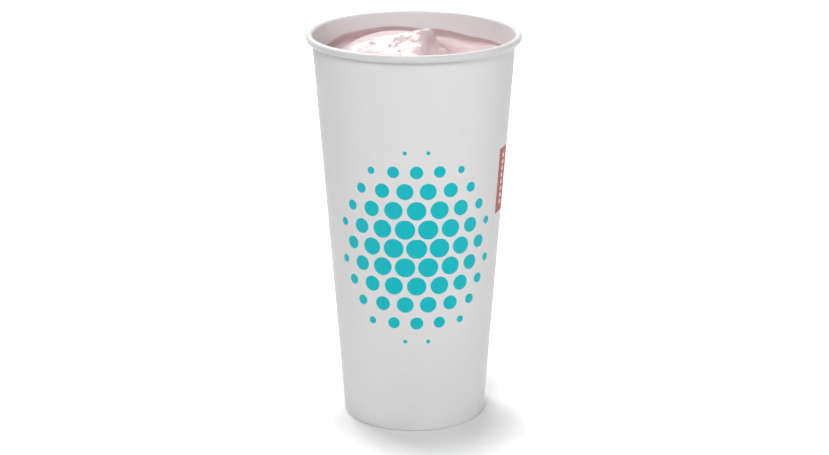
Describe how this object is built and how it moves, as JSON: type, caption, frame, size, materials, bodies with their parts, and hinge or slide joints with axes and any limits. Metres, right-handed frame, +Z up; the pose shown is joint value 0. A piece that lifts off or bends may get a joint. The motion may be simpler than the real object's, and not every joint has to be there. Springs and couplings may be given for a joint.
{
  "type": "strawberry milkshake in a tall paper cup",
  "caption": "Tall tapered paper cup with a rolled lip, filled with thick strawberry milkshake that is heaped into a soft peaked mound just below the lip.",
  "frame": {"origin": "on the cup's axis, in the plane of the table that its foot stands on", "axes": "+Z up along the cup's axis; -Y is the front, towards the printed side; the side seam is at +Y"},
  "size_m": [0.09, 0.09, 0.166],
  "materials": {
    "cup_board": "coated white paperboard, soft satin",
    "cup_bottom_board": "coated white paperboard, soft satin",
    "milkshake": "wet, creamy, pale pink milkshake"
  },
  "bodies": {
    "root": {"cup_sidewall": "cup_board", "cup_bottom": "cup_bottom_board", "milkshake": "milkshake"}
  },
  "joints": []
}
